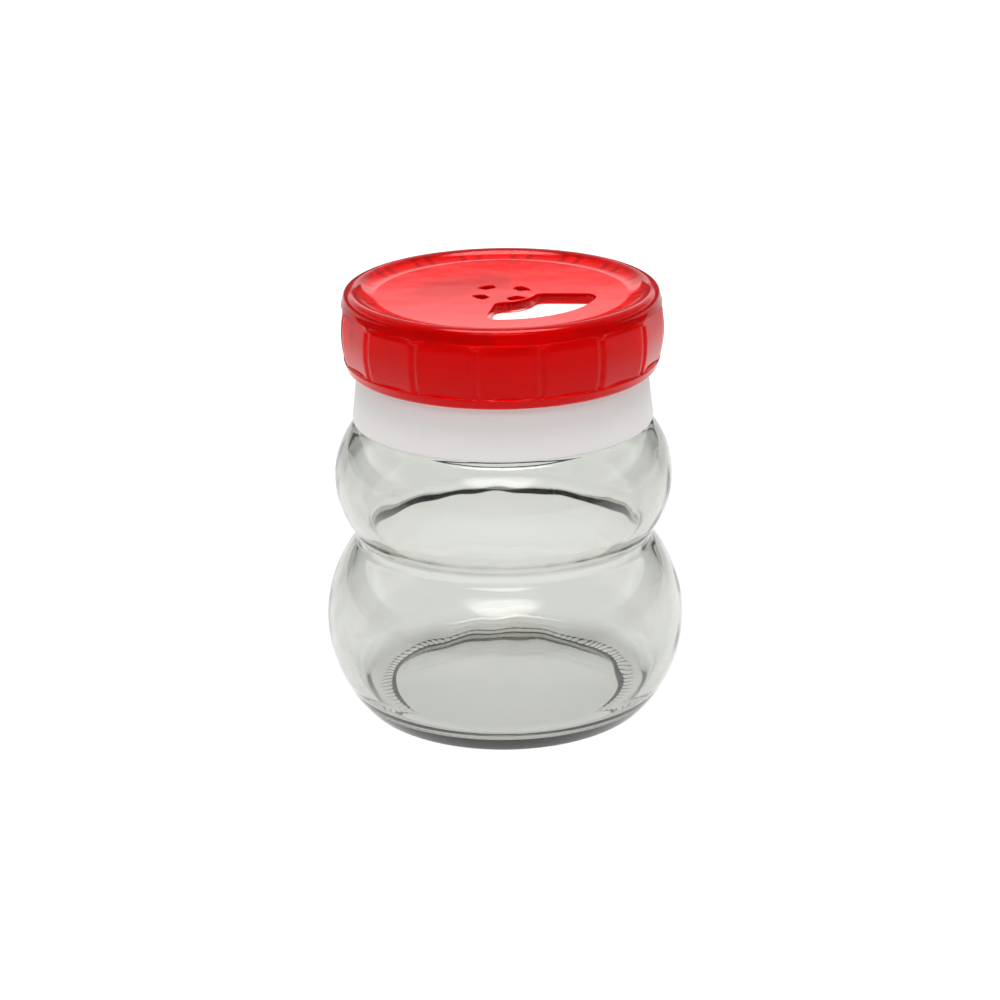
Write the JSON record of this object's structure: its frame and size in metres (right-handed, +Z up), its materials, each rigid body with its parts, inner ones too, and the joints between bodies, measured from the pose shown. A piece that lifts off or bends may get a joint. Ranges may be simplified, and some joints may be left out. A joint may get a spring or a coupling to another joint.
{
  "type": "coin bank jar",
  "caption": "Clear glass jar with two bulges, a white screw cap and a red translucent cover that turns to open or close a wedge-shaped coin opening.",
  "frame": {"origin": "middle of the base, on the surface that the jar stands on", "axes": "+Z up along the jar's axis, -Y towards the front, where the coin opening is nearest"},
  "size_m": [0.0878, 0.0878, 0.105],
  "materials": {
    "clear_glass": "smooth clear moulded soda-lime glass with a faint grey-green tint and dark edges",
    "seal_foam": "soft matt white foamed sealing liner",
    "white_plastic": "satin warm white moulded plastic",
    "red_plastic": "glossy translucent red moulded plastic"
  },
  "bodies": {
    "jar": {"glass_jar": "clear_glass"},
    "seal": {"seal_ring": "seal_foam"},
    "cap": {"screw_cap": "white_plastic"},
    "cover": {"turning_cover": "red_plastic"}
  },
  "joints": [
    {"name": "cap_rise", "type": "slide", "parent": "jar", "child": "seal", "axis": [0, 0, 1], "range_m": [0, 0.02481]},
    {"name": "cap_turn", "type": "hinge", "parent": "seal", "child": "cap", "pos_m": [0, 0, 0.09], "axis": [0, 0, 1], "range_deg": [0, 1440]},
    {"name": "cover_turn", "type": "hinge", "parent": "cap", "child": "cover", "pos_m": [0, 0, 0.1], "axis": [0, 0, 1], "continuous": true}
  ],
  "couplings": [
    {"joint": "cap_rise", "follows": "cap_turn", "m_per_rad": 0.00098676}
  ]
}
